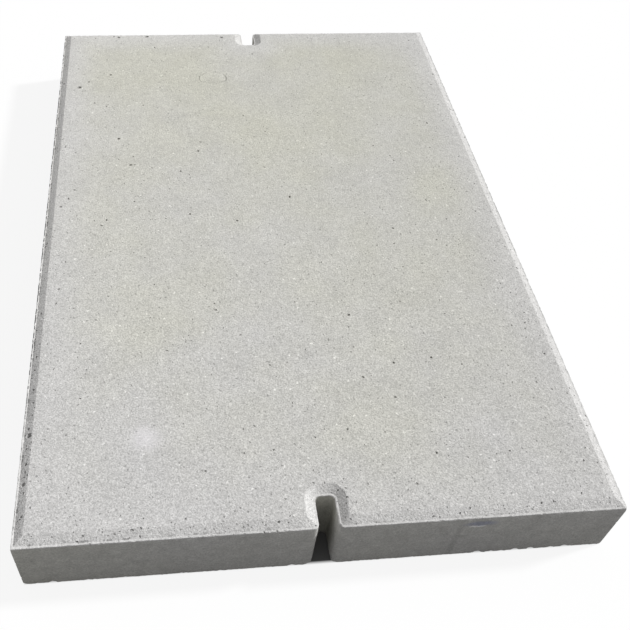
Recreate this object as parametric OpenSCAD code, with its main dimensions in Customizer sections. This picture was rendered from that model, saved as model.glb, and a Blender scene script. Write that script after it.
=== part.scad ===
// Concrete paving slab: chamfered and lipped top edge, and a lifting notch in each short end.
// The origin is the middle of the underside, +Y runs along the length and +Z is up.

/* [Slab] */
// Length of the slab, along Y
slab_length = 1500; // [900:10:2000]
// Width of the slab, along X
slab_width = 1000; // [600:10:1500]
// Thickness of the slab, from the underside to the top face
slab_thickness = 140; // [80:5:200]

/* [Top edge] */
// Width of the flat lip that runs round outside the chamfer
lip_width = 4; // [1:0.5:5]
// Width of the chamfer, seen from above
chamfer_width = 14; // [6:1:30]
// Depth of the lip and of the foot of the chamfer below the top face
chamfer_depth = 8; // [3:1:20]

/* [Lifting notches] */
// Width of a notch between its side walls
notch_width = 32; // [24:1:60]
// Depth of a notch, from the end face of the slab to the notch's back wall
notch_depth = 58; // [40:1:120]
// Radius of the two corners at the back of a notch
notch_back_radius = 8; // [4:1:11]
// Radius of the two corners at the mouth of a notch
notch_mouth_radius = 10; // [6:1:20]

/* [Hidden] */
$fn = 64;

concrete_colour = [0.78, 0.78, 0.75];

// How far a cut runs past the face that it opens
overrun = 5;

half_length = slab_length / 2;
half_width = slab_width / 2;
half_notch = notch_width / 2;

// Height of the lip, and how far the chamfer runs inwards for each unit that it rises
lip_z = slab_thickness - chamfer_depth;
chamfer_run_share = chamfer_width / chamfer_depth;

// Height of an edge cut above the lip, and how far its slope runs inwards over that height
cut_height = chamfer_depth + overrun;
cut_run = cut_height * chamfer_run_share;

// Centre of the right back corner of a notch, from the middle of the mouth
back_corner_x = half_notch - notch_back_radius;
back_corner_y = notch_depth - notch_back_radius;

// Cone of concrete that is left standing at a mouth corner, inside the lip
mouth_cone_foot = notch_mouth_radius - lip_width;
mouth_cone_top = max(0, mouth_cone_foot - chamfer_width);
mouth_cone_height = min(chamfer_depth, mouth_cone_foot / chamfer_run_share);

// Repeats a shape mirrored across X, for the left and the right
module both_sides() {
    for (side = [0, 1])
        mirror([side, 0, 0])
            children();
}

// Repeats a shape mirrored across Y, for the near and the far end
module both_ends() {
    for (end = [0, 1])
        mirror([0, end, 0])
            children();
}

// Plan of one notch, with its mouth on the X axis and its back towards +Y
module notch_plan() {
    translate([-half_notch, -overrun])
        square([notch_width, back_corner_y + overrun]);
    translate([-back_corner_x, 0])
        square([2 * back_corner_x, notch_depth]);
    both_sides() {
        translate([back_corner_x, back_corner_y])
            circle(r = notch_back_radius);
        mouth_corner_plan();
    }
}

// Plan of the waste outside the rounded corner at the right of a notch's mouth
module mouth_corner_plan() {
    translate([half_notch, 0])
        difference() {
            translate([0, -overrun])
                square([notch_mouth_radius, notch_mouth_radius + overrun]);
            translate([notch_mouth_radius, notch_mouth_radius])
                circle(r = notch_mouth_radius);
        }
}

// Plan of the slab with both notches
module slab_plan() {
    difference() {
        square([slab_width, slab_length], center = true);
        both_ends()
            translate([0, -half_length])
                notch_plan();
    }
}

// Cut for the lip and chamfer of a straight edge, which runs along +X with the concrete on its +Y side
module edge_cut(run) {
    rotate([90, 0, 90])
        linear_extrude(run)
            polygon([
                [-overrun, lip_z],
                [lip_width, lip_z],
                [lip_width + cut_run, lip_z + cut_height],
                [-overrun, lip_z + cut_height]
            ]);
}

// Cuts for the four outer edges
module outer_edge_cuts() {
    both_ends()
        translate([-half_width - overrun, -half_length, 0])
            edge_cut(slab_width + 2 * overrun);
    both_sides()
        translate([half_width, -half_length - overrun, 0])
            rotate([0, 0, 90])
                edge_cut(slab_length + 2 * overrun);
}

// Cuts that carry the lip and chamfer round one notch, placed as its plan is
module notch_edge_cuts() {
    translate([-back_corner_x, notch_depth, 0])
        edge_cut(2 * back_corner_x);
    both_sides() {
        translate([half_notch, back_corner_y, 0])
            rotate([0, 0, -90])
                edge_cut(back_corner_y + overrun);
        back_corner_cut();
        mouth_corner_cut();
    }
}

// Countersink round the right back corner of a notch
module back_corner_cut() {
    translate([back_corner_x, back_corner_y, lip_z])
        cylinder(
            h = cut_height,
            r1 = notch_back_radius + lip_width,
            r2 = notch_back_radius + lip_width + cut_run
        );
}

// Waste above the lip round the right mouth corner of a notch, which leaves a cone of concrete
module mouth_corner_cut() {
    translate([half_notch, 0, lip_z])
        difference() {
            cube([notch_mouth_radius, notch_mouth_radius, cut_height]);
            translate([notch_mouth_radius, notch_mouth_radius, 0])
                cylinder(h = mouth_cone_height, r1 = mouth_cone_foot, r2 = mouth_cone_top);
        }
}

module paving_slab() {
    color(concrete_colour)
        difference() {
            linear_extrude(slab_thickness)
                slab_plan();
            outer_edge_cuts();
            both_ends()
                translate([0, -half_length, 0])
                    notch_edge_cuts();
        }
}

paving_slab();
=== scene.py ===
"""Concrete paving slab, cast in one piece: worn edges, open pores and a cement finish, on a plain stage."""

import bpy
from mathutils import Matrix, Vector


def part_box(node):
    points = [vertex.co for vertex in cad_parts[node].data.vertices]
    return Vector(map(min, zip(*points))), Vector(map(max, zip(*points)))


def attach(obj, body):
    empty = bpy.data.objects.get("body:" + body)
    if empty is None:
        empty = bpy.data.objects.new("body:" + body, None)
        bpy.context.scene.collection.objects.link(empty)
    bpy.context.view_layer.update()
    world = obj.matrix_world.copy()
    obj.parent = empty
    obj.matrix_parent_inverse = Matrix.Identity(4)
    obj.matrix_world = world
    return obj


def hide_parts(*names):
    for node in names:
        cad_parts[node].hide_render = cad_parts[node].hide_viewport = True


bl_info = {
    "name": "Concrete Paving Slab",
    "version": (1, 0, 0),
    "blender": (4, 5, 0),
    "location": "View3D > Sidebar > Paving",
    "description": "Casts a chamfered concrete paving slab with lifting notches and sets its stage",
    "category": "Add Mesh",
}

import math
import random

import bmesh
import bpy
import numpy as np
from bpy.props import FloatProperty, FloatVectorProperty, IntProperty, PointerProperty
from mathutils import Matrix, Vector, noise
from mathutils.geometry import delaunay_2d_cdt

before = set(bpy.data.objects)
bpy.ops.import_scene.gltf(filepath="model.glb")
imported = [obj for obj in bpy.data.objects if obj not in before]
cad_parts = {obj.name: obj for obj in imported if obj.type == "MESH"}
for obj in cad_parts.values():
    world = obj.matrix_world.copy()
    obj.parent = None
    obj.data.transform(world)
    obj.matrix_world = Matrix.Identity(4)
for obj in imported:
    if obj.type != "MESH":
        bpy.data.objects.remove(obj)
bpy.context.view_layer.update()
SLAB_NODE = "paving_slab"
SLAB_BODY = "root"
HALF_WIDTH, HALF_LENGTH, TOP_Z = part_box(SLAB_NODE)[1]
IMAGE_WIDTH_PX = 630

# Attributes of the slab's mesh: those that the finish reads, and those that only the tree needs
EDGE_INSET = "edge_inset"
HOLLOW_DEPTH = "hollow_depth"
PORE_RADIUS = "pore_radius"
TREE_ATTRIBUTES = (PORE_RADIUS, "id")

# Length of the pressed ring along Y, as a share of its width, and radius of the tube that presses it
RING_ASPECT = 0.72
RING_TUBE = 0.0036

# Edges that bend less than this are shaded smooth
SMOOTH_ANGLE = math.radians(22)

# Heights of the rings on the walls, as shares of the top's
WALL_LEVELS = (0.8, 0.5, 0.2)

# Nicks up an upright corner: how many at most, the chance of each, where they start and how far they
# reach, as shares of the top's height, their radii, and the size of those at the right beside the left
NICKS = 7
NICK_CHANCE = 0.75
NICK_START = 0.03
NICK_REACH = 0.86
NICK_RADII = (0.0028, 0.0075)
RIGHT_NICK_SIZE = 0.45

# Families of pores: the seed, the heights of the normals of their faces, and the ball's subdivisions
PORE_FAMILIES = {
    "Fine": (100, (0.5, 1.1), 1),
    "Open": (200, (0.5, 1.1), 2),
    "Rim": (500, (0.6, 0.95), 1),
    "Wall": (300, (-0.5, 0.5), 1),
    "Bed": (400, (-1.1, -0.5), 1),
}

# Smallest pore and least distance between two, in radii of the largest, and then the rise of a pore's
# middle off the skin, its stretch and its roughness, in its own radii
SMALLEST_PORE = 0.42
PORE_GAP = 3.4
PORE_RISE = (-0.3, 0.4)
PORE_STRETCH = ((0.85, 0.6, 0.6), (1.45, 1.0, 1.0))
PORE_CRUMBLE = 1.1

# Pits that stand out, each with its place in plan and its radius, and then their shape
TOP_PITS = (
    (-0.449, 0.486, 0.0056), (-0.347, 0.270, 0.0042), (-0.277, 0.726, 0.0050), (-0.073, 0.718, 0.0048),
    (-0.354, 0.724, 0.0046), (-0.367, 0.729, 0.0032), (-0.488, 0.738, 0.0040), (-0.372, 0.541, 0.0038),
    (-0.319, 0.170, 0.0040), (-0.310, 0.171, 0.0024), (-0.206, 0.144, 0.0032), (-0.162, 0.217, 0.0031),
    (-0.370, -0.014, 0.0032), (-0.191, -0.002, 0.0033), (-0.090, -0.028, 0.0031), (-0.153, -0.283, 0.0030),
    (-0.110, -0.348, 0.0025), (0.156, -0.509, 0.0030), (0.463, -0.427, 0.0026), (0.058, -0.571, 0.0027),
    (0.203, -0.628, 0.0028), (0.156, -0.685, 0.0025), (-0.193, -0.637, 0.0024), (-0.075, -0.604, 0.0025),
    (-0.126, -0.607, 0.0021), (-0.066, -0.697, 0.0022), (0.454, -0.660, 0.0022),
)
NEAR_EDGE_PITS = (
    (-0.299, -0.732, 0.0030), (-0.313, -0.734, 0.0032), (-0.131, -0.737, 0.0024), (0.172, -0.742, 0.0028),
    (0.377, -0.733, 0.0026), (-0.106, -0.749, 0.0026), (-0.085, -0.749, 0.0028),
)
LONG_EDGE_PITS = (
    (-0.488, -0.547, 0.0062), (-0.490, -0.533, 0.0036), (-0.489, -0.640, 0.0048), (-0.488, -0.603, 0.0036),
    (-0.487, -0.656, 0.0030), (-0.486, -0.480, 0.0034), (-0.487, -0.698, 0.0033), (-0.488, -0.618, 0.0030),
    (-0.489, -0.376, 0.0032), (-0.488, -0.271, 0.0032), (-0.486, -0.506, 0.0028), (-0.488, -0.451, 0.0028),
    (-0.490, -0.406, 0.0028), (-0.491, -0.075, 0.0032), (-0.490, 0.510, 0.0040), (0.483, -0.416, 0.0026),
)
PIT_STRETCH = (1.1, 0.85, 0.8)

# Chips of the edges that stand out, each as the middle and the radius of the ball that fits it
LARGE_CHIPS = (
    (0.502, -0.752, 0.131, 0.0055),
    (-0.501, -0.752, 0.000, 0.0065),
    (0.372, -0.753, 0.000, 0.0075),
)

MIDDLE_GREY = (0.5, 0.5, 0.5)
WHITE = (1, 1, 1, 1)


# Settings


def setting(kind, convert=None, **more):
    """Makes settings of one kind that a user may change, each from its name, default and description."""

    def make(name, default, description):
        value = convert(default) if convert else default
        return kind(name=name, default=value, description=description, **more)

    return make


def linear(shown):
    """A colour as it shows on a screen, from 0 to 255, in the linear values that Blender mixes."""
    shares = [channel / 255 for channel in shown]
    return [s / 12.92 if s <= 0.04045 else ((s + 0.055) / 1.055) ** 2.4 for s in shares]


length = setting(FloatProperty, unit="LENGTH", precision=4)
share = setting(FloatProperty, precision=3)
degrees = setting(FloatProperty, math.radians, subtype="ANGLE")
whole = setting(IntProperty)
colour = setting(FloatVectorProperty, linear, subtype="COLOR", min=0, max=1)
plan_point = setting(FloatVectorProperty, size=2, unit="LENGTH")
point = setting(FloatVectorProperty, size=3, unit="LENGTH")


class MouldSizes(bpy.types.PropertyGroup):
    """What the mould gives the slab."""

    lip_width: length("Lip Width", 0.004, "Flat lip that runs round outside the chamfer")
    chamfer_width: length("Chamfer Width", 0.014, "Chamfer of the top edge, seen from above")
    chamfer_depth: length("Chamfer Depth", 0.008, "Depth of the lip below the top face")
    crest_radius: length("Crest Radius", 0.0035, "Rounding where the chamfer meets the top face")
    crest_wear: length("Crest Wear", 0.001, "How far wear has carried the crest of the chamfer inwards")
    arris_radius: length("Arris Radius", 0.0011, "Rounding of the outer edge of the lip")
    corner_radius: length("Corner Radius", 0.0014, "Rounding of the four upright corners")
    notch_width: length("Notch Width", 0.032, "Lifting notch, between its side walls")
    notch_depth: length("Notch Depth", 0.058, "Lifting notch, from the end face to its back wall")
    notch_back_radius: length("Notch Back Radius", 0.008, "Corners at the back of a notch")
    notch_mouth_radius: length("Notch Mouth Radius", 0.010, "Corners at the mouth of a notch")


class WearSizes(bpy.types.PropertyGroup):
    """How uneven and chipped the casting is."""

    seed: whole("Seed", 7, "Starts the random draws of the chips")
    step: length("Step", 0.0036, "Spacing of the mesh along the edges")
    top_spacing: length("Top Spacing", 0.017, "Spacing of the mesh across the top face")
    bed_spacing: length("Underside Spacing", 0.045, "Spacing of the mesh across the underside")
    wave_depth: length("Wave Depth", 0.0005, "Slow unevenness of the top face")
    wave_size: length("Wave Size", 0.11, "Width of a slow wave of the top face")
    grit_depth: length("Grit Depth", 0.0011, "Raggedness of the edges")
    grit_size: length("Grit Size", 0.006, "Width of a ragged tooth along the edges")
    top_chips: whole("Top Chips", 360, "Chips along the lip")
    foot_chips: whole("Foot Chips", 260, "Chips along the bottom edge")
    top_bite: length("Top Bite", 0.0020, "Depth of a large chip of the lip")
    foot_bite: length("Foot Bite", 0.0048, "Depth of a large chip of the bottom edge")
    chip_radius: length("Chip Radius", 0.009, "Hollow radius of a large chip")


class PoreSizes(bpy.types.PropertyGroup):
    """Air pores that the concrete was left with."""

    seed: whole("Seed", 11, "Starts the random draws of the pores")
    fine_density: share("Fine Pores", 3700.0, "Fine pores to a square metre of the top, at most")
    fine_radius: length("Fine Radius", 0.0021, "Largest fine pore")
    open_density: share("Open Pores", 390.0, "Open pores to a square metre of the top, at most")
    open_radius: length("Open Radius", 0.0030, "Largest open pore")
    rim_density: share("Rim Pores", 9000.0, "Pores to a square metre of the chamfer, at most")
    rim_radius: length("Rim Radius", 0.0025, "Largest pore of the chamfer")
    wall_density: share("Wall Pores", 360.0, "Pores to a square metre of the upright faces, at most")
    wall_radius: length("Wall Radius", 0.0019, "Largest pore of the upright faces")
    bed_density: share("Underside Pores", 260.0, "Pores to a square metre of the underside, at most")
    bed_radius: length("Underside Radius", 0.0042, "Largest pore of the underside")
    patch_size: length("Patch Size", 0.16, "Width of a patch with more or fewer pores")


class FinishColours(bpy.types.PropertyGroup):
    """Colours of the dry concrete."""

    warm: colour("Warm Cement", (201, 200, 189), "Cement in the warmer patches")
    cool: colour("Cool Cement", (201, 200, 199), "Cement in the cooler patches")
    skin: colour("Pale Skin", (220, 218, 219), "Smooth cement skin of the pale spot")
    # Painted shade: the colour that a notch darkens towards, low and deep in it
    notch_shade: colour("Grime", (134, 133, 119), "Grime deep in the notches")
    blue_mark: colour("Blue Mark", (166, 169, 184), "Smear of blue dust on the near end")


class MarkPlaces(bpy.types.PropertyGroup):
    """Marks that the slab picked up in the yard."""

    ring: plan_point("Ring", (-0.110, 0.519), "Middle of the ring that is pressed into the top")
    ring_radius: length("Ring Radius", 0.036, "Middle line of the pressed ring")
    ring_depth: length("Ring Depth", 0.0015, "Depth of the pressed ring")
    spot: plan_point("Pale Spot", (-0.291, -0.567), "Middle of the pale spot on the top")
    spot_radius: length("Pale Spot Radius", 0.036, "Reach of the pale spot")
    smear_x: length("Smear X", 0.254, "Middle of the smear on the near end")
    smear_z: length("Smear Z", 0.113, "Height of the smear on the near end")
    streak_x: length("Streak X", 0.222, "Middle of the dark streak on the near end")


class StageSettings(bpy.types.PropertyGroup):
    """Camera, lamp and floor."""

    camera: point("Camera", (-0.232, -1.330, 1.328), "Place of the lens")
    camera_yaw: degrees("Yaw", -8.09, "Turn to the left")
    camera_tilt: degrees("Tilt", 41.41, "Tilt up from the floor")
    camera_roll: degrees("Roll", 3.71, "Roll of the camera")
    focal_px: share("Focal Length", 814.2, "Focal length in pixels of the square image")
    axis_x_px: share("Axis X", 251.0, "Where the lens axis meets the image, from its left")
    axis_y_px: share("Axis Y", 312.3, "Where the lens axis meets the image, from its top")
    sun_yaw: degrees("Key Bearing", 12.5, "Bearing of the key lamp from +X")
    sun_height: degrees("Key Height", 39.3, "Height of the key lamp")
    sun_strength: share("Key Strength", 2.98, "Strength of the key lamp")
    sun_softness: degrees("Key Softness", 6, "Width of the key lamp")
    sky_strength: share("Fill Strength", 0.40, "Strength of the even light from all round")
    floor_size: length("Floor Size", 60.0, "Side of the floor")
    floor_glow: share("Floor Glow", 0.88, "Share of the floor's white that shadow does not darken")
    floor_grey: share("Floor Grey", 0.15, "Share of light that the floor throws back at the slab")


SETTINGS = {
    "slab_mould": MouldSizes,
    "slab_wear": WearSizes,
    "slab_pores": PoreSizes,
    "slab_finish": FinishColours,
    "slab_marks": MarkPlaces,
    "slab_stage": StageSettings,
}


# Plan of the slab


def compass(angle):
    """Unit vector in plan."""
    return np.array((math.cos(angle), math.sin(angle)))


class PlanOutline:
    """The slab's edge in plan: straight runs with a quarter turn after each, drawn at any inset."""

    QUARTER = math.pi / 2
    TURN_STEPS = 6

    def __init__(self, mould, step):
        corner, mouth, back = mould.corner_radius, mould.notch_mouth_radius, mould.notch_back_radius
        end_run = HALF_WIDTH - corner - mould.notch_width / 2 - mouth
        wall_run = mould.notch_depth - mouth - back
        back_run = mould.notch_width - 2 * back
        side_run = 2 * (HALF_LENGTH - corner)
        half_of_edge = [
            (end_run, 1, mouth),
            (wall_run, -1, back),
            (back_run, -1, back),
            (wall_run, 1, mouth),
            (end_run, 1, corner),
            (side_run, 1, corner),
        ]
        place = np.array((corner - HALF_WIDTH, -HALF_LENGTH))
        heading = 0.0
        self.run_steps = []
        self.turns = []
        for run, side, radius in half_of_edge * 2:
            self.run_steps.append(max(2, round(run / step)))
            outward = heading - self.QUARTER
            centre = place + run * compass(heading) - side * radius * compass(outward)
            self.turns.append((centre, outward, side, radius))
            heading += side * self.QUARTER
            place = centre + side * radius * compass(heading - self.QUARTER)

    def turn_rows(self, turn, inset):
        """Rows round one turn: an arc, or a mitre where the inset is past the turn's centre."""
        centre, outward, side, radius = turn
        reach = side * radius - inset
        if side > 0 and reach < 0:
            mitre = compass(outward) + compass(outward + self.QUARTER)
            return [(*(centre + reach * mitre), *(mitre / math.sqrt(2)))] * (self.TURN_STEPS + 1)
        angles = outward + side * self.QUARTER * np.linspace(0, 1, self.TURN_STEPS + 1)
        return [(*(centre + reach * compass(angle)), *compass(angle)) for angle in angles]

    def ring(self, inset):
        """Rows round the slab, as many at every inset: a point, and the way out of the slab there."""
        turns = [self.turn_rows(turn, inset) for turn in self.turns]
        rows = []
        for index, steps in enumerate(self.run_steps):
            start, end = np.array(turns[index - 1][-1][:2]), np.array(turns[index][0][:2])
            outward = compass(self.turns[index][1])
            rows += [(*(start + (end - start) * k / steps), *outward) for k in range(1, steps)]
            rows += turns[index]
        return np.array(rows)

    def sparse(self, stride):
        """Which points of a ring to keep where few will do: each turn's, and one in a stride of a run's."""
        kept, first = [], 0
        for steps in self.run_steps:
            kept += range(first + stride - 1, first + steps - 1, stride)
            kept += range(first + steps - 1, first + steps + self.TURN_STEPS)
            first += steps + self.TURN_STEPS
        return kept


def edge_inset(mould, x, y):
    """How far points in plan lie inside the slab's edge."""
    across, along = np.abs(x), HALF_LENGTH - np.abs(y)
    mouth, back = mould.notch_mouth_radius, mould.notch_back_radius
    past_wall = np.maximum(across - mould.notch_width / 2 + back, 0)
    past_back = np.maximum(along - mould.notch_depth + back, 0)
    from_notch = np.hypot(past_wall, past_back) - back
    near = np.minimum(along, from_notch)
    rounded = mouth - np.hypot(np.maximum(mouth - along, 0), np.maximum(mouth - from_notch, 0))
    near = np.where(near < mouth, rounded, near)
    return np.minimum(near, HALF_WIDTH - across)


def skin_height(mould, x, y):
    """Height of the slab's upper side at a place in plan: the lip, the chamfer or the top face."""
    chamfer = (mould.lip_width, mould.lip_width + mould.chamfer_width)
    return np.interp(edge_inset(mould, x, y), chamfer, (TOP_Z - mould.chamfer_depth, TOP_Z))


# Casting


def top_edge_profile(mould):
    """Rings from the top face down to the wall, each with its inset, its height and how ragged it is."""
    lip, width, depth = mould.lip_width, mould.chamfer_width, mould.chamfer_depth
    crest, arris = mould.crest_radius, mould.arris_radius
    slope = math.atan2(depth, width)
    lip_z = TOP_Z - depth
    crest_inset = lip + width + mould.crest_wear + crest * math.tan(slope / 2)
    rings = [
        (crest_inset - crest * math.sin(angle), TOP_Z - crest * (1 - math.cos(angle)), 0.25)
        for angle in np.linspace(0, slope, 4)
    ]
    rings += [(lip + width / 2, TOP_Z - depth / 2, 0.45), (lip, lip_z, 0.3), (lip / 2, lip_z, 0.5)]
    rings += [
        (arris * (1 - math.sin(angle)), lip_z - arris * (1 - math.cos(angle)), 1.0)
        for angle in np.linspace(0, math.pi / 2, 3)
    ]
    return rings + [(0, lip_z - 3 * arris, 0.55), (0, lip_z - 9 * arris, 0)]


def foot_edge_profile(mould):
    """Rings from the wall round the bottom edge to the underside, in the same terms."""
    arris = mould.arris_radius
    return [
        (0, 8 * arris, 0),
        (0, 2.5 * arris, 0.5),
        (0.4 * arris, 0.5 * arris, 1.0),
        (2.5 * arris, 0, 0.5),
        (8 * arris, 0, 0),
    ]


class Casting:
    """Points and faces of the slab, gathered ring by ring."""

    def __init__(self):
        self.points = []
        self.outward = []
        self.ragged = []
        self.faces = []

    def add(self, rows, height, ragged=0):
        """The numbers of new points, at one height."""
        first = len(self.points)
        self.points += [(row[0], row[1], height) for row in rows]
        self.outward += [(row[2], row[3]) for row in rows]
        self.ragged += [ragged] * len(rows)
        return list(range(first, len(self.points)))

    def strips(self, rings):
        """Joins rings of as many points, from the top one down."""
        for upper, lower in zip(rings, rings[1:]):
            for k in range(len(upper)):
                self.faces.append((upper[k - 1], lower[k - 1], lower[k], upper[k]))

    def thin_out(self, full, kept, sparse, full_above):
        """Joins a full ring to a sparse one, which follows the kept points of the full one."""
        for k in range(len(kept)):
            start, end = kept[k - 1], kept[k]
            if end < start:
                end += len(full)
            span = [full[i % len(full)] for i in range(start, end + 1)]
            if full_above:
                self.faces.append((span[0], sparse[k - 1], sparse[k], *reversed(span[1:])))
            else:
                self.faces.append((sparse[k - 1], *span, sparse[k]))

    def fill(self, border, inside, height, upward):
        """Triangles across a flat face, from its border ring to loose points inside it."""
        ring = [Vector(self.points[i][:2]) for i in border]
        loop = [(k - 1, k) for k in range(1, len(ring))] + [(len(ring) - 1, 0)]
        loose = [Vector(p) for p in inside]
        _, _, triangles, origins, _, _ = delaunay_2d_cdt(ring + loose, loop, [], 1, 1e-7)
        sources = border + self.add([(x, y, 0, 0) for x, y in inside], height)
        for triangle in triangles:
            corners = [sources[origins[i][0]] for i in triangle]
            self.faces.append(corners if upward else corners[::-1])


def loose_grid(mould, spacing, margin, draw):
    """Points across the slab that keep clear of its edge, each shifted a little off its grid."""
    grid = [
        (x + draw.uniform(0.2, 0.8) * spacing, y + draw.uniform(0.2, 0.8) * spacing)
        for x in np.arange(-HALF_WIDTH, HALF_WIDTH, spacing)
        for y in np.arange(-HALF_LENGTH, HALF_LENGTH, spacing)
    ]
    x, y = np.array(grid).T
    return [p for p, inset in zip(grid, edge_inset(mould, x, y)) if inset > margin]


def cloud(points, size, start):
    """Smooth noise from 0 to 1 at each point, with bumps of that size."""
    shift = Vector((start, -start, 2 * start))
    waves = [noise.fractal(Vector(p) / size + shift, 0.8, 2.0, 3) for p in points]
    return np.array([0.5 + 0.5 * wave for wave in waves]).clip(0, 1)


def press_ball(points, centre, radius):
    """Pushes the points inside a ball out to its skin."""
    away = points - centre
    gap = np.linalg.norm(away, axis=1)
    inside = (gap < radius) & (gap > 0)
    points[inside] = centre + away[inside] * (radius / gap[inside])[:, None]


def chip_edge(points, ring, outward, up, count, deepest, sheltered, wear, draw):
    """Scoops hollows out of an edge, as if by balls pressed into it, but not at the notches' backs."""
    for _ in range(count):
        k = draw.randrange(len(ring))
        strength = draw.uniform(0.15, 1.0) ** 2
        radius = wear.chip_radius * draw.uniform(0.45, 1.0) * (0.5 + 0.5 * strength)
        bite = deepest * (0.25 + 0.75 * strength)
        way = np.array((*outward[k], up * draw.uniform(0.3, 1.0)))
        way /= np.linalg.norm(way)
        if abs(ring[k][0]) > sheltered:
            press_ball(points, ring[k] + way * (radius - bite), radius)


def weathered(casting, arris, foot, mould, wear):
    """The casting's points, worn: a slow wave over the top, ragged edges, and chips, all within its box."""
    points = np.array(casting.points)
    outward = np.array(casting.outward)
    ragged = np.array(casting.ragged)
    rest = points.copy()
    upper = rest[:, 2] > TOP_Z - 2 * mould.chamfer_depth
    rim = rest[:, 2] > TOP_Z - 1.5 * mould.chamfer_depth
    points[rim, 2] -= wear.wave_depth * cloud(rest[rim], wear.wave_size, start=3.1)
    edge = ragged > 0
    depth = wear.grit_depth * ragged[edge] * cloud(rest[edge], wear.grit_size, start=9.7)
    points[edge, :2] -= outward[edge] * depth[:, None]
    sink = 0.6 * depth
    points[edge, 2] += np.where(upper[edge], -sink, sink)
    draw = random.Random(wear.seed)
    sheltered = 0.45 * mould.notch_width
    for ring, up, count, deepest in (
        (arris, 1, wear.top_chips, wear.top_bite),
        (foot, -1, wear.foot_chips, wear.foot_bite),
    ):
        chip_edge(points, rest[ring], outward[ring], up, count, deepest, sheltered, wear, draw)
    for x, y, z, radius in LARGE_CHIPS:
        press_ball(points, np.array((x, y, z)), radius)
    return points.clip((-HALF_WIDTH, -HALF_LENGTH, 0), (HALF_WIDTH, HALF_LENGTH, TOP_Z))


def cast_mesh(mould, wear):
    """Closed mesh of the slab before its pores."""
    outline = PlanOutline(mould, wear.step)
    casting = Casting()
    top, foot = (
        [casting.add(outline.ring(inset), z, ragged) for inset, z, ragged in profile]
        for profile in (top_edge_profile(mould), foot_edge_profile(mould))
    )
    casting.strips(top)
    casting.strips(foot)
    kept = outline.sparse(stride=8)
    wall = [casting.add(outline.ring(0)[kept], TOP_Z * level) for level in WALL_LEVELS]
    casting.thin_out(top[-1], kept, wall[0], True)
    casting.strips(wall)
    casting.thin_out(foot[0], kept, wall[-1], False)
    draw = random.Random(wear.seed + 1)
    rim = mould.lip_width + mould.chamfer_width
    casting.fill(top[0], loose_grid(mould, wear.top_spacing, rim + wear.top_spacing, draw), TOP_Z, True)
    casting.fill(foot[-1], loose_grid(mould, wear.bed_spacing, wear.bed_spacing / 2, draw), 0, False)
    mesh = bpy.data.meshes.new("slab_casting")
    arris_ring, foot_ring = top[-4], foot[2]
    mesh.from_pydata(weathered(casting, arris_ring, foot_ring, mould, wear).tolist(), [], casting.faces)
    close_mesh(mesh)
    return mesh


def close_mesh(mesh):
    """Merges the points that meet at mitred corners, and stops if the mesh is still open."""
    shape = bmesh.new()
    shape.from_mesh(mesh)
    bmesh.ops.remove_doubles(shape, verts=shape.verts, dist=1e-6)
    bmesh.ops.recalc_face_normals(shape, faces=shape.faces)
    open_edges = sum(not e.is_manifold for e in shape.edges)
    shape.to_mesh(mesh)
    shape.free()
    if open_edges:
        raise RuntimeError(f"the casting has {open_edges} open edges")


# Node trees


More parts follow.
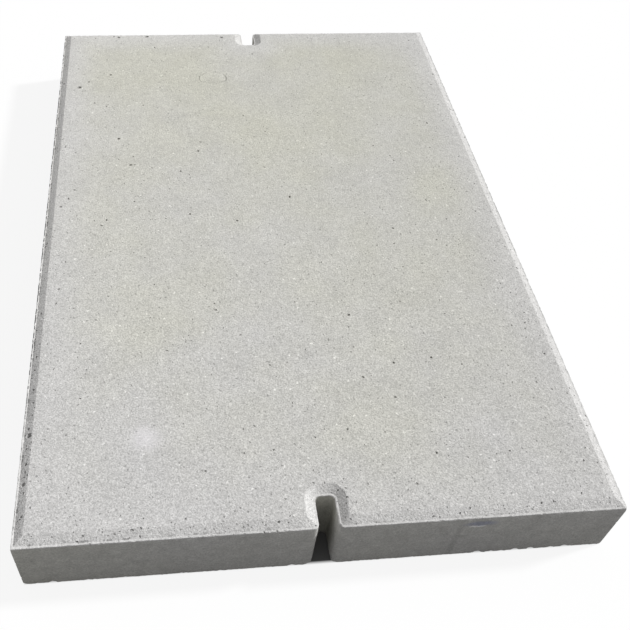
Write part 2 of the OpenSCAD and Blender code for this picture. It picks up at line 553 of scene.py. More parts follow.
class Wiring:
    """Short ways to add and join nodes in one tree."""

    def __init__(self, tree):
        self.tree = tree

    def add(self, kind, sockets=None, **settings):
        """Outputs of a new node, with its settings, and its sockets set or joined by name or number."""
        node = self.tree.nodes.new(kind)
        for name, value in settings.items():
            setattr(node, name, value)
        for key, value in (sockets or {}).items():
            self.put(node.inputs[key], value)
        return node.outputs

    def first(self, kind, sockets=None, **settings):
        """The first output of a new node."""
        return self.add(kind, sockets, **settings)[0]

    def put(self, socket, value):
        """Sets a socket, or joins another one to it."""
        if isinstance(value, bpy.types.NodeSocket):
            self.tree.links.new(value, socket)
        else:
            socket.default_value = value

    def math(self, operation, *values):
        return self.first("ShaderNodeMath", dict(enumerate(values)), operation=operation)

    def product(self, *factors):
        result = factors[0]
        for factor in factors[1:]:
            result = self.math("MULTIPLY", result, factor)
        return result

    def vector(self, operation, *values):
        """A vector made from others, the length of one or the distance between two."""
        outputs = self.add("ShaderNodeVectorMath", dict(enumerate(values)), operation=operation)
        return outputs["Value" if operation in ("LENGTH", "DISTANCE") else "Vector"]

    def scaled(self, vector, factor):
        return self.first("ShaderNodeVectorMath", {"Vector": vector, "Scale": factor}, operation="SCALE")

    def axes(self, vector):
        return self.add("ShaderNodeSeparateXYZ", {0: vector})

    def remap(self, value, low, high, start=0.0, end=1.0, smooth=False):
        """The value's place between low and high, as a number between start and end."""
        kind = "SMOOTHSTEP" if smooth else "LINEAR"
        sockets = {"Value": value, 1: low, 2: high, 3: start, 4: end}
        return self.first("ShaderNodeMapRange", sockets, interpolation_type=kind)

    def blend(self, mask, off, on):
        """One value off the mask and another on it."""
        return self.remap(mask, 0.0, 1.0, off, on)

    def gain(self, mask, full):
        """A factor that is 1 off the mask and the full gain on it."""
        return self.blend(mask, 1.0, full)

    def gains(self, *pairs):
        """The product of the gains of several masks."""
        return self.product(*(self.gain(mask, full) for mask, full in pairs))

    def noise(self, place, size, detail=2.0, roughness=0.5):
        """Noise with bumps of that size in metres, as a number and as a colour."""
        sockets = {"Vector": place, "Scale": 1 / size, "Detail": detail, "Roughness": roughness}
        return self.add("ShaderNodeTexNoise", sockets)

    def shove(self, place, size):
        """Noise with bumps of that size in metres, as a shift that may point any way."""
        return self.vector("SUBTRACT", self.noise(place, size)["Color"], MIDDLE_GREY)

    def grains(self, place, size):
        """Cells of that size in metres."""
        return self.add("ShaderNodeTexVoronoi", {"Vector": place, "Scale": 1 / size})

    def stored(self, name):
        """A number that is stored on the geometry."""
        return self.first("GeometryNodeInputNamedAttribute", {"Name": name}, data_type="FLOAT")

    def draw(self, seed, low, high):
        """A random number for each point."""
        return self.add("FunctionNodeRandomValue", {2: low, 3: high, "Seed": seed}, data_type="FLOAT")[1]

    def compare(self, operation, value, limit):
        return self.first("FunctionNodeCompare", {0: value, 1: limit}, operation=operation)

    def store(self, geometry, name, value):
        sockets = {"Geometry": geometry, "Name": name, "Value": value}
        return self.first("GeometryNodeStoreNamedAttribute", sockets)

    def shift(self, geometry, offset):
        """The geometry with each point moved by its offset."""
        return self.first("GeometryNodeSetPosition", {"Geometry": geometry, "Offset": offset})

    def crumble(self, geometry, scale, reach):
        """The geometry with its points pushed about by noise."""
        lumps = self.add("ShaderNodeTexNoise", {"Scale": scale, "Detail": 1.0})["Color"]
        return self.shift(geometry, self.scaled(self.vector("SUBTRACT", lumps, MIDDLE_GREY), reach))


def facing(wire, low, high):
    """True on faces whose normal's height lies between two values."""
    height = wire.axes(wire.first("GeometryNodeInputNormal"))["Z"]
    sockets = {0: wire.compare("GREATER_THAN", height, low), 1: wire.compare("LESS_EQUAL", height, high)}
    return wire.first("FunctionNodeBooleanMath", sockets, operation="AND")


def off_spot(wire, marks):
    """0 in the middle of the pale spot, whose skin has no pores, and 1 away from it."""
    place = wire.first("GeometryNodeInputPosition")
    away = wire.vector("DISTANCE", place, (*marks.spot, TOP_Z))
    return wire.remap(away, 0.7 * marks.spot_radius, 1.3 * marks.spot_radius)


def pore_hollows(wire, casting, inputs, label, clear):
    """One family of rough closed hollows, scattered over the casting, to be cut out of it."""
    seed, heights, facets = PORE_FAMILIES[label]
    largest = inputs[f"{label} Radius"]
    patches = wire.first("ShaderNodeTexNoise", {"Scale": inputs["Patch Scale"], "Detail": 2.0})
    near_edge = wire.remap(wire.stored(EDGE_INSET), 0.03, 0.09, 1.0, 0.45)
    points = wire.add(
        "GeometryNodeDistributePointsOnFaces",
        {
            "Mesh": casting,
            "Selection": facing(wire, *heights),
            "Distance Min": wire.product(largest, PORE_GAP),
            "Density Max": inputs[f"{label} Density"],
            "Density Factor": wire.product(wire.remap(patches, 0.3, 0.65, 0.25, 1.0), near_edge, clear),
            "Seed": wire.math("ADD", inputs["Seed"], seed),
        },
        distribute_method="POISSON",
    )
    chance = wire.math("POWER", wire.draw(seed, 0.0, 1.0), 2.0)
    radius = wire.product(largest, wire.blend(chance, SMALLEST_PORE, 1.0))
    rise = wire.scaled(points["Normal"], wire.product(radius, wire.draw(seed + 3, *PORE_RISE)))
    middles = wire.shift(wire.store(points["Points"], PORE_RADIUS, radius), rise)
    spin = wire.first("FunctionNodeAxisAngleToRotation", {"Angle": wire.draw(seed + 1, 0.0, math.tau)})
    turn = wire.first(
        "FunctionNodeRotateRotation",
        {"Rotation": points["Rotation"], "Rotate By": spin},
        rotation_space="LOCAL",
    )
    least, most = PORE_STRETCH
    stretch = wire.first(
        "FunctionNodeRandomValue", {0: least, 1: most, "Seed": seed + 2}, data_type="FLOAT_VECTOR"
    )
    own_radius = wire.stored(PORE_RADIUS)
    placed = wire.first(
        "GeometryNodeInstanceOnPoints",
        {
            "Points": middles,
            "Instance": wire.first("GeometryNodeMeshIcoSphere", {"Radius": 1.0, "Subdivisions": facets}),
            "Rotation": turn,
            "Scale": wire.scaled(stretch, own_radius),
        },
    )
    solid = wire.first("GeometryNodeRealizeInstances", {"Geometry": placed})
    reach = wire.product(own_radius, PORE_CRUMBLE)
    return wire.crumble(solid, wire.math("DIVIDE", PORE_CRUMBLE, largest), reach)


def ring_hollow(wire, marks):
    """An uneven ring that presses into the top face, deepest at its right and at its upper left."""
    place = wire.first("GeometryNodeInputPosition")
    axes = wire.axes(place)
    bearing = wire.math("ARCTAN2", axes["Y"], axes["X"])
    wave = wire.math("COSINE", wire.math("MULTIPLY_ADD", bearing, 2.0, 0.6))
    lift = wire.remap(wave, -0.6, 0.8, 0.65 * marks.ring_depth, 0.0)
    flat = wire.vector("MULTIPLY", place, (0.0, RING_ASPECT - 1, 0.0))
    uneven = wire.vector("MULTIPLY_ADD", wire.shove(place, 0.016), (0.013, 0.013, 0.0), flat)
    offset = wire.vector("ADD", uneven, wire.first("ShaderNodeCombineXYZ", {"Z": lift}))
    circle = "GeometryNodeCurvePrimitiveCircle"
    path = wire.shift(wire.first(circle, {"Resolution": 96, "Radius": marks.ring_radius}), offset)
    section = wire.first(circle, {"Resolution": 10, "Radius": RING_TUBE})
    swept = wire.first("GeometryNodeCurveToMesh", {"Curve": path, "Profile Curve": section})
    middle = (*marks.ring, TOP_Z + RING_TUBE - marks.ring_depth)
    return wire.first("GeometryNodeTransform", {"Geometry": swept, "Translation": middle})


def corner_nicks(wear):
    """Chips up the four upright corners, most at the left two: the place, radius and stretch of each."""
    draw = random.Random(wear.seed + 2)
    slot = NICK_REACH * TOP_Z / NICKS
    nicks = []
    for side, end in ((-1, -1), (-1, 1), (1, -1), (1, 1)):
        for k in range(NICKS):
            radius = draw.uniform(*NICK_RADII) * (1.0 if side < 0 else RIGHT_NICK_SIZE)
            tall = draw.uniform(0.7, 1.0)
            room = slot / 2 - radius * tall
            z = NICK_START * TOP_Z + slot * (k + 0.5) + draw.uniform(-room, room)
            out = radius * draw.uniform(0.15, 0.5)
            if draw.random() < NICK_CHANCE:
                place = (side * (HALF_WIDTH + out), end * (HALF_LENGTH + out), z)
                nicks.append((place, radius, (1.0, 1.0, tall)))
    return nicks


def large_pits(wire, mould, wear):
    """Rough hollows at the places of the pits that stand out, and up the corners."""
    pits = wire.tree.nodes.new("GeometryNodeJoinGeometry")
    on_skin = [
        ((x, y, skin_height(mould, x, y)), radius, PIT_STRETCH)
        for x, y, radius in TOP_PITS + NEAR_EDGE_PITS + LONG_EDGE_PITS
    ]
    for place, radius, stretch in on_skin + corner_nicks(wear):
        ball = wire.first("GeometryNodeMeshIcoSphere", {"Radius": radius, "Subdivisions": 2})
        sockets = {"Geometry": ball, "Translation": place, "Scale": stretch}
        wire.put(pits.inputs[0], wire.first("GeometryNodeTransform", sockets))
    return wire.crumble(pits.outputs[0], scale=330.0, reach=0.005)


def pore_values(pores):
    """Values of the geometry tree's named inputs."""
    values = {"Seed": pores.seed, "Patch Scale": 1 / pores.patch_size}
    for label in PORE_FAMILIES:
        for measure in ("Density", "Radius"):
            values[f"{label} {measure}"] = getattr(pores, f"{label}_{measure}".lower())
    return values


def pore_tree(mould, marks, wear, finish, names):
    """Geometry tree that cuts the hollows out of the casting, with an input for each name."""
    tree = bpy.data.node_groups.new("Slab Pores", "GeometryNodeTree")
    for way in ("INPUT", "OUTPUT"):
        tree.interface.new_socket("Geometry", in_out=way, socket_type="NodeSocketGeometry")
    for name in names:
        kind = "NodeSocketInt" if name == "Seed" else "NodeSocketFloat"
        tree.interface.new_socket(name, in_out="INPUT", socket_type=kind)
    wire = Wiring(tree)
    inputs = wire.add("NodeGroupInput")
    casting = inputs["Geometry"]
    cut = tree.nodes.new("GeometryNodeMeshBoolean")
    cut.operation = "DIFFERENCE"
    cut.solver = "MANIFOLD"
    wire.put(cut.inputs["Mesh 1"], casting)
    clear = off_spot(wire, marks)
    hollows = [pore_hollows(wire, casting, inputs, label, clear) for label in PORE_FAMILIES]
    for hollow in (*hollows, large_pits(wire, mould, wear), ring_hollow(wire, marks)):
        wire.put(cut.inputs["Mesh 2"], hollow)
    skin = wire.add("GeometryNodeProximity", {0: casting}, target_element="FACES")
    shape = wire.store(cut.outputs["Mesh"], HOLLOW_DEPTH, skin["Distance"])
    bend = wire.add("GeometryNodeInputMeshEdgeAngle")["Unsigned Angle"]
    for domain, smooth in (("FACE", True), ("EDGE", wire.compare("LESS_THAN", bend, SMOOTH_ANGLE))):
        sockets = {"Geometry": shape, "Shade Smooth": smooth}
        shape = wire.first("GeometryNodeSetShadeSmooth", sockets, domain=domain)
    real = wire.first("GeometryNodeRealizeInstances", {"Geometry": shape})
    dressed = wire.first("GeometryNodeSetMaterial", {"Geometry": real, "Material": finish})
    wire.add("NodeGroupOutput", {"Geometry": dressed})
    return tree


# Finish


def reaches(wire, place, centre, reach):
    """The way from a centre to a place, in reaches along each axis."""
    return wire.vector("DIVIDE", wire.vector("SUBTRACT", place, centre), reach)


def blob(wire, place, centre, reach, soft):
    """1 inside an ellipsoid round the centre, falling to 0 over the soft share of its reach."""
    far = wire.vector("LENGTH", reaches(wire, place, centre, reach))
    return wire.remap(far, 1 - soft, 1.0, 1.0, 0.0, smooth=True)


def warped(wire, place, size, reach):
    """Places pushed about by noise, so that a mask gets an uneven edge."""
    return wire.vector("ADD", place, wire.scaled(wire.shove(place, size), reach))


def tone(wire, place, size, detail, roughness, swing):
    """A factor that wavers about 1 by the swing, in patches of that size."""
    patches = wire.noise(place, size, detail, roughness)[0]
    return wire.remap(patches, 0.3, 0.7, 1 - swing, 1 + swing)


def specks(wire, place, spacing, reach, chosen):
    """1 in small round specks, which fill only a share of the cells that they lie in."""
    cells = wire.grains(place, spacing)
    picked = wire.add("ShaderNodeSeparateColor", {0: cells["Color"]})[1]
    small = wire.remap(cells["Distance"], reach * 0.6, reach, 1.0, 0.0)
    return wire.product(small, wire.math("LESS_THAN", picked, chosen))


def mix_colours(wire, factor, first, second):
    return wire.add("ShaderNodeMix", {0: factor, 6: first, 7: second}, data_type="RGBA")[2]


class Skin(Wiring):
    """Wiring of the finish that knows where a point lies, with masks of the zones that look different."""

    def __init__(self, tree, mould, marks):
        super().__init__(tree)
        self.place = self.add("ShaderNodeTexCoord")["Object"]
        self.x, self.y, self.z = self.axes(self.place)
        self.off_middle = self.math("ABSOLUTE", self.x)
        self.inset = self.add("ShaderNodeAttribute", attribute_name=EDGE_INSET)["Fac"]
        self.hollow = self.add("ShaderNodeAttribute", attribute_name=HOLLOW_DEPTH)["Fac"]
        self.lip_z = TOP_Z - mould.chamfer_depth
        lip = mould.lip_width
        rim = lip + mould.chamfer_width + mould.crest_wear
        self.upper = self.remap(self.z, self.lip_z - 0.004, self.lip_z - 0.002)
        inner = self.remap(self.inset, rim - 0.002, rim + 0.002, 1.0, 0.0, smooth=True)
        self.on_rim = self.product(self.upper, inner)
        self.on_lip = self.product(self.upper, self.remap(self.inset, lip, lip + 0.001, 1.0, 0.0))
        self.border = self.remap(self.inset, rim, rim + 0.10, 1.0, 0.0, smooth=True)
        uneven = warped(self, self.place, size=0.02, reach=0.018)
        self.spot = blob(self, uneven, (*marks.spot, TOP_Z), (marks.spot_radius,) * 3, soft=0.85)
        coarse = self.blend(self.upper, 0.65, 1.0)
        self.rough = self.product(coarse, self.gain(self.on_lip, 0.6), self.gain(self.spot, 0.55))

    def across(self, left, right):
        """A number that changes from the left edge to the right one."""
        return self.remap(self.x, -HALF_WIDTH, HALF_WIDTH, left, right)

    def from_left(self, left, rest):
        """A number that changes from the left edge to a third of the way across."""
        return self.remap(self.x, -HALF_WIDTH, -0.4 * HALF_WIDTH, left, rest)

    def along(self, near, far, start=-1.0, end=1.0):
        """A number that changes along the slab, between two shares of its half length."""
        return self.remap(self.y, start * HALF_LENGTH, end * HALF_LENGTH, near, far)


def cement_tint(skin, colours):
    """Cement that is warmer at the far end, cool along the border and at two corners, and uneven."""
    place = skin.place
    patch = skin.remap(skin.noise(place, size=0.20, detail=3.0)[0], 0.3, 0.7, -0.28, 0.28)
    along = skin.math("MULTIPLY_ADD", skin.y, 0.33 / HALF_LENGTH, 0.58)
    near_left = blob(skin, place, (-HALF_WIDTH, -HALF_LENGTH, TOP_Z), (0.45,) * 3, soft=1.0)
    far_right = blob(skin, place, (HALF_WIDTH, HALF_LENGTH, TOP_Z), (0.35,) * 3, soft=1.0)
    top = skin.product(
        skin.math("ADD", along, patch),
        skin.gain(skin.border, 0.25),
        skin.gain(skin.on_rim, 0.5),
        skin.gain(near_left, 0.0),
        skin.gain(far_right, 0.3),
    )
    wall = skin.math("MULTIPLY_ADD", patch, 0.4, skin.from_left(0.55, 0.22))
    warmth = skin.first("ShaderNodeClamp", {0: skin.blend(skin.upper, wall, top)})
    return mix_colours(skin, warmth, (*colours.cool, 1), (*colours.warm, 1))


def near_end_marks(skin, tint, colours, marks):
    """The tint with the blue smear of the near end, and the gain of the streak and scratch beside it."""
    uneven = warped(skin, skin.place, size=0.012, reach=0.008)
    x, y, z = marks.smear_x, -HALF_LENGTH, marks.smear_z
    smear = blob(skin, uneven, (x, y, z), (0.037, 0.01, 0.012), soft=0.7)
    streak = blob(skin, uneven, (marks.streak_x, y, 0.060), (0.008, 0.01, 0.090), soft=0.7)
    scratch = blob(skin, uneven, (x - 0.004, y, z - 0.009), (0.018, 0.01, 0.0035), soft=0.5)
    tint = mix_colours(skin, skin.product(smear, 0.9), tint, (*colours.blue_mark, 1))
    return tint, skin.gains((streak, 0.82), (scratch, 1.65))


def notch_shade_mask(skin, mould):
    """Painted shade: 1 low and deep in a notch, falling to 0 at its mouth and at the lip."""
    z, lip_z, depth = skin.z, skin.lip_z, mould.notch_depth
    deep = skin.math("SUBTRACT", HALF_LENGTH, skin.math("ABSOLUTE", skin.y))
    walls = skin.math("LESS_THAN", skin.off_middle, mould.notch_width / 2 + 0.001)
    inside = skin.remap(deep, 0.008, depth * 0.8, smooth=True)
    before_back = skin.math("LESS_THAN", deep, depth + 0.001)
    low = skin.remap(z, 0.2 * lip_z, lip_z - 0.002, 0.70, 0.45)
    below_lip = skin.remap(z, lip_z - 0.004, lip_z - 0.001, 1.0, 0.0)
    return skin.product(walls, inside, before_back, low, below_lip)


def edge_shade(skin, mould):
    """Gain of the painted shade in broken runs along the lip's outer edge and in flecks in the crease at
    the chamfer's foot, both strongest at the left.
    """
    place, inset = skin.place, skin.inset
    above = skin.remap(skin.z, skin.lip_z - 0.003, skin.lip_z - 0.0015)
    on_long_edge = skin.math("GREATER_THAN", skin.off_middle, HALF_WIDTH - mould.lip_width)
    to_right = skin.across(0.0, 1.0)
    off_notch = skin.math("GREATER_THAN", skin.off_middle, 2 * mould.notch_width)
    outer = skin.remap(inset, 0.0022, 0.0032, 1.0, 0.0)
    runs = skin.remap(skin.noise(place, size=0.013, detail=3.0, roughness=0.6)[0], 0.43, 0.50)
    away = skin.along(0.12, 1.0, start=-0.85, end=-0.50)
    # Painted shade along the lip's outer edge, strongest at the left
    line = skin.product(above, skin.gain(to_right, 0.45), on_long_edge, outer, runs, away)
    from_foot = skin.math("ABSOLUTE", skin.math("SUBTRACT", inset, mould.lip_width + 0.0012))
    foot = skin.remap(from_foot, 0.0010, 0.0024, 1.0, 0.0)
    clumps = skin.remap(skin.noise(place, size=0.010, detail=3.0, roughness=0.6)[0], 0.55, 0.61)
    flecks = skin.product(above, skin.gain(to_right, 0.15), off_notch, foot, clumps)
    return skin.gains((line, 0.10), (flecks, 0.5))


def ring_highlight_and_shade(skin, marks):
    """Gain of the painted light in the pressed ring: a painted highlight inside its rim and painted shade
    along its near side.
    """
    radius = marks.ring_radius
    uneven = warped(skin, skin.place, size=0.016, reach=0.010)
    middle = (*marks.ring, TOP_Z)
    shares = reaches(skin, uneven, middle, (radius, RING_ASPECT * radius, radius))
    far = skin.vector("LENGTH", shares)
    within = skin.remap(far, 0.90, 1.0, 1.0, 0.0)
    band = skin.remap(far, 0.45, 0.75, smooth=True)
    rise = skin.remap(skin.axes(shares)["Y"], -0.7, -0.2, smooth=True)
    near_side = skin.math("SUBTRACT", within, skin.product(within, rise))
    # Painted highlight inside the ring, painted shade along its near side
    return skin.gains((skin.product(within, band, rise), 1.09), (near_side, 0.90))


def wall_stains_and_shade(skin):
    """Gain of the stains on the upright faces, with painted shade that darkens them towards the foot, and
    darker away from the left.
    """
    stains = tone(skin, skin.place, size=0.024, detail=4.0, roughness=0.65, swing=0.07)
    # Painted shade: the walls darken towards the foot
    upwards = skin.remap(skin.z, 0.0, skin.lip_z, 0.88, 1.05)
    wall = skin.product(stains, upwards, skin.from_left(1.03, 0.985))
    return skin.blend(skin.upper, wall, 1.0)


def painted_slope_light(skin, mould):
    """Gain that changes across the top, the chamfer and the lip, and round the notches: painted light that
    brightens the chamfer and the lip, painted light and shade on a notch's lit left slope and shaded right
    slope, and a top that is lighter at the left than at the right.
    """
    x, notch = skin.x, mould.notch_width
    left_lip = mould.lip_width - HALF_WIDTH
    by_notch = skin.remap(skin.off_middle, notch, 1.5 * notch, 1.0, 0.0)
    # Painted light on the chamfer, and on a notch's lit slope, painted shade on its shaded slope
    rim = skin.blend(by_notch, skin.across(1.12, 1.095), skin.remap(x, -notch, notch, 1.20, 0.86))
    lip = skin.product(
        skin.from_left(1.12, 1.0),
        skin.remap(x, left_lip, left_lip + 0.004, 1.2, 1.0),
        skin.gain(by_notch, skin.remap(x, 0.0, notch / 2, 1.0, 1.15)),
    )
    top = skin.blend(skin.on_rim, skin.across(1.035, 0.945), rim)
    return skin.gains((skin.upper, top), (skin.on_lip, lip))


def fleck_gain(skin, mould):
    """Gain of the pale, bright and dark specks and of the painted shade in the pits of the left chamfer,
    and the dark mask.
    """
    place, on_rim = skin.place, skin.on_rim
    uneven = warped(skin, place, size=0.004, reach=0.005)
    bright, dark, shaded_pits = (
        specks(skin, skin.vector("ADD", uneven, shift), spacing, reach, chosen)
        for shift, spacing, reach, chosen in (
            ((1.3, 2.9, 0.4), 0.013, 0.20, 0.24),
            ((3.1, 1.7, 0.9), 0.0085, 0.21, 0.26),
            ((2.2, 0.6, 1.9), 0.0055, 0.30, 0.40),
        )
    )
    pale = specks(skin, place, spacing=0.0075, reach=0.18, chosen=0.50)
    bright = skin.product(bright, skin.along(1.0, 0.6, start=0.0))
    dark = skin.product(dark, skin.rough, skin.gain(on_rim, 1.3))
    # Painted shade in the pits of the left chamfer, which faces away from the key lamp
    left_chamfer = mould.lip_width - HALF_WIDTH + mould.chamfer_width
    on_left = skin.math("LESS_THAN", skin.x, left_chamfer)
    shaded_pits = skin.product(shaded_pits, on_left, on_rim, skin.along(1.0, 0.3, end=0.3))
    return skin.gains((pale, 1.22), (bright, 1.36), (dark, 0.62), (shaded_pits, 0.60)), dark


def concrete_finish(mould, colours, marks):
    """Dry cast concrete: cement tints, sand grains, specks and the yard's marks, with painted shade in the
    hollows, the notches, the pits of the left chamfer, along the edges and at the walls' foot, and painted
    light on the slopes and in the ring.
    """
    material = bpy.data.materials.new("Cast Concrete")
    material.use_nodes = True
    shader = material.node_tree.nodes["Principled BSDF"]
    shader.inputs["Roughness"].default_value = 0.93
    shader.inputs["Specular IOR Level"].default_value = 0.25
    skin = Skin(material.node_tree, mould, marks)
    place, on_rim, rough = skin.place, skin.on_rim, skin.rough

    sand = skin.first("ShaderNodeSeparateColor", {0: skin.grains(place, size=0.0019)["Color"]})
    silt = skin.remap(skin.noise(place, size=0.0036, roughness=0.65)[0], 0.25, 0.75, -0.5, 0.5)
    fine = skin.math("ADD", skin.blend(sand, -0.19, 0.19), skin.product(silt, 0.29))
    strength = skin.product(rough, skin.along(1.03, 0.62), skin.gain(on_rim, 0.8))
    flecks, dark = fleck_gain(skin, mould)
    inside_rim = skin.math("SUBTRACT", skin.border, on_rim)
    halo = skin.product(inside_rim, skin.along(0.25, 1.0, start=-0.2, end=0.8))
    # Painted shade in the pores and chips, darker the deeper a point lies in them
    deepest = skin.blend(skin.upper, 0.86, 0.68)
    hollow_shade = skin.remap(skin.product(skin.hollow, skin.gain(on_rim, 1.8)), 0.0001, 0.0015, 1.0, deepest)

    tint = cement_tint(skin, colours)
    tint = mix_colours(skin, skin.spot, tint, (*colours.skin, 1))
    tint, marked = near_end_marks(skin, tint, colours, marks)
    # Painted shade low and deep in the notches
    tint = mix_colours(skin, notch_shade_mask(skin, mould), tint, (*colours.notch_shade, 1))
    shade = skin.product(
        tone(skin, place, size=0.075, detail=4.0, roughness=0.6, swing=0.04),
        tone(skin, place, size=0.014, detail=3.0, roughness=0.6, swing=0.055),
        wall_stains_and_shade(skin),
        painted_slope_light(skin, mould),
        skin.gain(halo, 1.06),
        skin.math("MULTIPLY_ADD", fine, strength, 1.0),
        flecks,
        hollow_shade,
        marked,
        edge_shade(skin, mould),
        ring_highlight_and_shade(skin, marks),
    )
    skin.put(shader.inputs["Base Color"], skin.scaled(tint, shade))

    relief = skin.math("ADD", skin.product(sand, 0.4), skin.product(silt, 0.8))
    relief = skin.product(skin.math("SUBTRACT", relief, dark), rough, skin.gain(on_rim, 2.0))
    bump = skin.first("ShaderNodeBump", {"Height": relief, "Strength": 0.7, "Distance": 0.0007})
    skin.put(shader.inputs["Normal"], bump)
    return material


# Pieces


def cast_slab(scene):
    """The slab: its casting, with the pores cut out by the geometry tree and made a plain mesh."""
    mould, marks, wear = scene.slab_mould, scene.slab_marks, scene.slab_wear
    slab = bpy.data.objects.new("cast_slab", cast_mesh(mould, wear))
    mark_edge_inset(slab.data, mould)
    scene.collection.objects.link(slab)
    finish = concrete_finish(mould, scene.slab_finish, marks)
    values = pore_values(scene.slab_pores)
    tree = pore_tree(mould, marks, wear, finish, values)
    modifier = slab.modifiers.new("Pores", "NODES")
    modifier.node_group = tree
    for name, value in values.items():
        modifier[tree.interface.items_tree[name].identifier] = value
    cut = slab.evaluated_get(bpy.context.evaluated_depsgraph_get())
    mesh = bpy.data.meshes.new_from_object(cut)
    slab.modifiers.remove(modifier)
    for name in TREE_ATTRIBUTES:
        mesh.attributes.remove(mesh.attributes[name])
    # The casting brought an empty slot, which lies before the finish
    mesh.materials.pop(index=0)
    drop_crumbs(mesh)
    slab.data = mesh
    mesh.name = "cast_slab"
    mark_edge_inset(mesh, mould)
    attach(slab, SLAB_BODY)
    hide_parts(SLAB_NODE)


def drop_crumbs(mesh):
    """Deletes the small lumps that the cuts left loose, and keeps the slab itself."""
    shape = bmesh.new()
    shape.from_mesh(mesh)
    unseen = set(shape.verts)
    lumps = []
    while unseen:
        lump = set()
        front = {unseen.pop()}
        while front:
            lump |= front
            front = {edge.other_vert(vert) for vert in front for edge in vert.link_edges} - lump
        unseen -= lump
        lumps.append(lump)
    for lump in sorted(lumps, key=len)[:-1]:
        bmesh.ops.delete(shape, geom=list(lump), context="VERTS")
    shape.to_mesh(mesh)
    shape.free()


def mark_edge_inset(mesh, mould):
    """Stores on each point how far it lies inside the slab's edge in plan."""
    points = np.empty(len(mesh.vertices) * 3, np.float32)
    mesh.vertices.foreach_get("co", points)
    x, y, _ = points.reshape(-1, 3).T
    stored = mesh.attributes.get(EDGE_INSET) or mesh.attributes.new(EDGE_INSET, "FLOAT", "POINT")
    stored.data.foreach_set("value", edge_inset(mould, x, y).astype(np.float32))


# Stage


def seen_apart(wire, bounced, seen):
    """One shader for light that bounces, and another where the camera sees, also by mirror or glass."""
    ray = wire.add("ShaderNodeLightPath")
    sight = wire.math("MAXIMUM", ray["Is Camera Ray"], ray["Is Glossy Ray"])
    sight = wire.math("MAXIMUM", sight, ray["Is Transmission Ray"])
    return wire.first("ShaderNodeMixShader", {0: sight, 1: bounced, 2: seen})


def matt(wire, level):
    """Matt grey that throws back that share of the light."""
    return wire.first("ShaderNodeBsdfDiffuse", {"Color": (level, level, level, 1)})


def floor_finish(stage):
    """Matt floor that shows pale beside the slab, keeps its shadow and throws little light back; its glow
    stops under the slab, which leaves a dark patch of painted shade in the notches.
    """
    material = bpy.data.materials.new("Pale Floor")
    material.use_nodes = True
    nodes = material.node_tree.nodes
    nodes.remove(nodes["Principled BSDF"])
    wire = Wiring(material.node_tree)
    axes = wire.axes(wire.vector("ABSOLUTE", wire.add("ShaderNodeTexCoord")["Object"]))
    # Painted shade: the glow stops at the slab's footprint, so the floor seen in the notches is dark
    beside = wire.math("SUBTRACT", axes["X"], HALF_WIDTH)
    before = wire.math("SUBTRACT", axes["Y"], HALF_LENGTH)
    strength = wire.remap(wire.math("MAXIMUM", beside, before), -0.006, 0.0, 0.004, stage.floor_glow)
    glow = wire.first("ShaderNodeEmission", {"Color": WHITE, "Strength": strength})
    pale = wire.first("ShaderNodeAddShader", {0: matt(wire, 1 - stage.floor_glow), 1: glow})
    floor = seen_apart(wire, matt(wire, stage.floor_grey), pale)
    wire.put(nodes["Material Output"].inputs["Surface"], floor)
    return material


def lay_floor(scene, stage):
    """A wide floor under the slab, which isn't part of it."""
    half = stage.floor_size / 2
    corners = [(-half, -half, 0), (half, -half, 0), (half, half, 0), (-half, half, 0)]
    mesh = bpy.data.meshes.new("floor")
    mesh.from_pydata(corners, [], [(0, 1, 2, 3)])
    mesh.materials.append(floor_finish(stage))
    floor = bpy.data.objects.new("floor", mesh)
    scene.collection.objects.link(floor)


def hang_lights(scene, stage):
    """One soft key lamp from the right and behind, and an even pale surround."""
    lamp = bpy.data.lights.new("key", "SUN")
    lamp.energy = stage.sun_strength
    lamp.angle = stage.sun_softness
    key = bpy.data.objects.new("key", lamp)
    to_lamp = Vector((
        math.cos(stage.sun_height) * math.cos(stage.sun_yaw),
        math.cos(stage.sun_height) * math.sin(stage.sun_yaw),
        math.sin(stage.sun_height),
    ))
    key.rotation_euler = to_lamp.to_track_quat("Z", "Y").to_euler()
    scene.collection.objects.link(key)
    world = bpy.data.worlds.new("surround")
    world.use_nodes = True
    nodes = world.node_tree.nodes
    wire = Wiring(world.node_tree)
    fill = nodes["Background"]
    fill.inputs["Color"].default_value = WHITE
    fill.inputs["Strength"].default_value = stage.sky_strength
    white = wire.first("ShaderNodeBackground", {"Color": WHITE, "Strength": 1.0})
    wire.put(nodes["World Output"].inputs["Surface"], seen_apart(wire, fill.outputs[0], white))
    scene.world = world


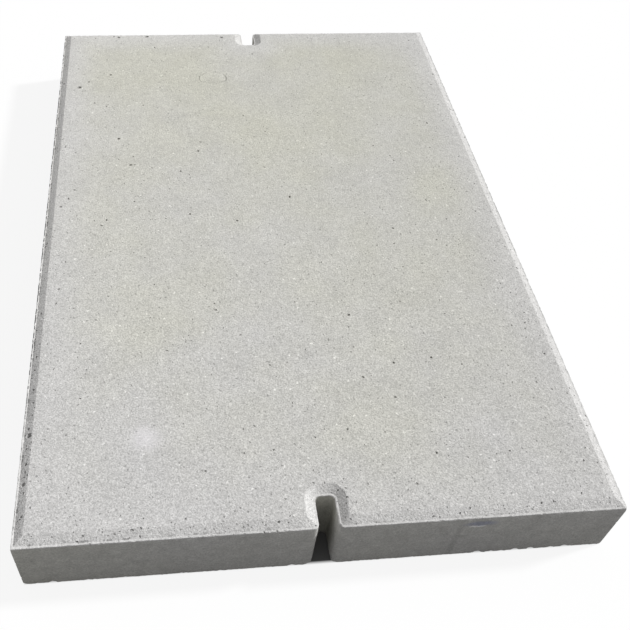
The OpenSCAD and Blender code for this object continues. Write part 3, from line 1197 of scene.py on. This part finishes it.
def aim_camera(scene, stage):
    """A lens whose axis lies off the middle of the image."""
    lens = bpy.data.cameras.new("camera")
    lens.sensor_fit = "HORIZONTAL"
    lens.lens = stage.focal_px / IMAGE_WIDTH_PX * lens.sensor_width
    lens.shift_x = 0.5 - stage.axis_x_px / IMAGE_WIDTH_PX
    lens.shift_y = stage.axis_y_px / IMAGE_WIDTH_PX - 0.5
    camera = bpy.data.objects.new("camera", lens)
    camera.matrix_world = (
        Matrix.Translation(stage.camera)
        @ Matrix.Rotation(stage.camera_yaw, 4, "Z")
        @ Matrix.Rotation(stage.camera_tilt, 4, "X")
        @ Matrix.Rotation(stage.camera_roll, 4, "Z")
    )
    scene.collection.objects.link(camera)
    scene.camera = camera


# Add-on


class PAVING_OT_cast_slab(bpy.types.Operator):
    """Cast the slab with its worn edges, pores and finish"""

    bl_idname = "paving.cast_slab"
    bl_label = "Cast Slab"

    def execute(self, context):
        cast_slab(context.scene)
        return {"FINISHED"}


class PAVING_OT_set_stage(bpy.types.Operator):
    """Lay the floor, hang the lights and aim the camera"""

    bl_idname = "paving.set_stage"
    bl_label = "Set Stage"

    def execute(self, context):
        scene = context.scene
        for step in (lay_floor, hang_lights, aim_camera):
            step(scene, scene.slab_stage)
        scene.view_settings.view_transform = "Standard"
        return {"FINISHED"}


class PAVING_PT_panel(bpy.types.Panel):
    """Settings and steps of the paving slab"""

    bl_idname = "PAVING_PT_panel"
    bl_label = "Concrete Paving Slab"
    bl_space_type = "VIEW_3D"
    bl_region_type = "UI"
    bl_category = "Paving"

    def draw(self, context):
        for name, group in SETTINGS.items():
            box = self.layout.box()
            box.label(text=group.__doc__)
            for key in group.__annotations__:
                box.prop(getattr(context.scene, name), key)
        for step in STEPS:
            self.layout.operator(step.bl_idname)


STEPS = (PAVING_OT_cast_slab, PAVING_OT_set_stage)
CLASSES = (*SETTINGS.values(), *STEPS, PAVING_PT_panel)


def register():
    for kind in CLASSES:
        bpy.utils.register_class(kind)
    for name, group in SETTINGS.items():
        setattr(bpy.types.Scene, name, PointerProperty(type=group))


def unregister():
    for name in SETTINGS:
        delattr(bpy.types.Scene, name)
    for kind in reversed(CLASSES):
        bpy.utils.unregister_class(kind)


def main():
    register()
    bpy.ops.paving.set_stage()
    bpy.ops.paving.cast_slab()


if __name__ == "__main__":
    main()
